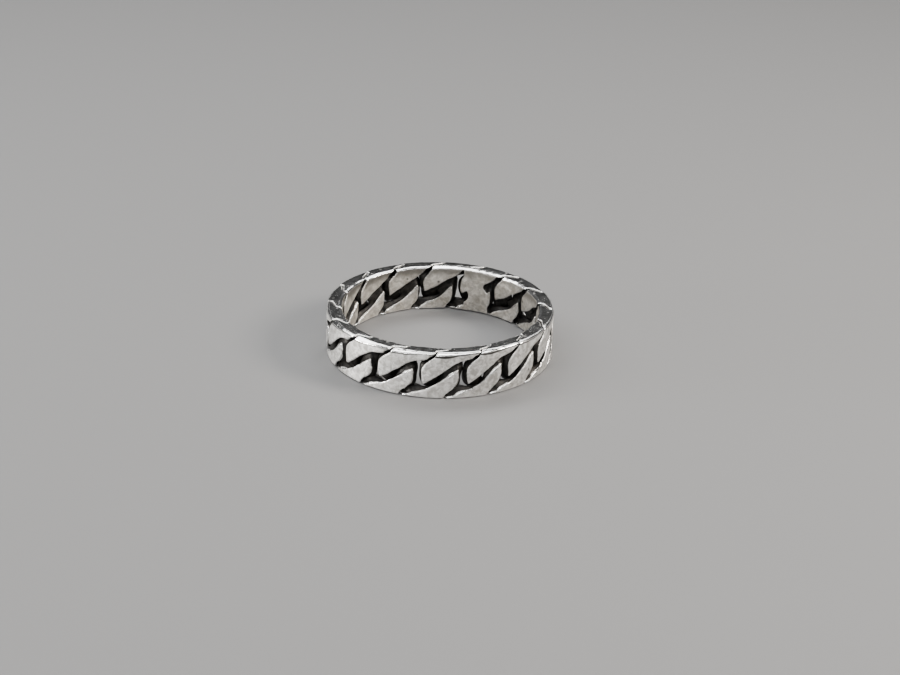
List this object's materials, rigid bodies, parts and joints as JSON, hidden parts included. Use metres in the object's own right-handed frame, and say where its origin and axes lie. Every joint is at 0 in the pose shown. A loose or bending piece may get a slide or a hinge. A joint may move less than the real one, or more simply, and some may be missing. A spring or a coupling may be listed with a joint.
{
  "type": "woven ring",
  "caption": "Finger ring of interlocked twisted curb links, soldered into a circle and ground flat outside, inside and on both edges, with darkened recesses.",
  "frame": {"origin": "centre of the band, on the plane that the ring rests on", "axes": "+Z along the finger, away from the surface that the ring rests on; -Y is the front, towards the picture's camera; the soldered joint is at the back, towards +Y"},
  "size_m": [0.022, 0.022, 0.0047],
  "materials": {
    "silver": "satin silver, worn bright on the ground faces, oxidised dark in the recesses"
  },
  "bodies": {
    "root": {"link_01": "silver", "link_02": "silver", "link_03": "silver", "link_04": "silver", "link_05": "silver", "link_06": "silver", "link_07": "silver", "link_08": "silver", "link_09": "silver", "soldered_pair": "silver", "link_10": "silver", "link_11": "silver", "link_12": "silver", "link_13": "silver", "link_14": "silver"}
  },
  "joints": []
}
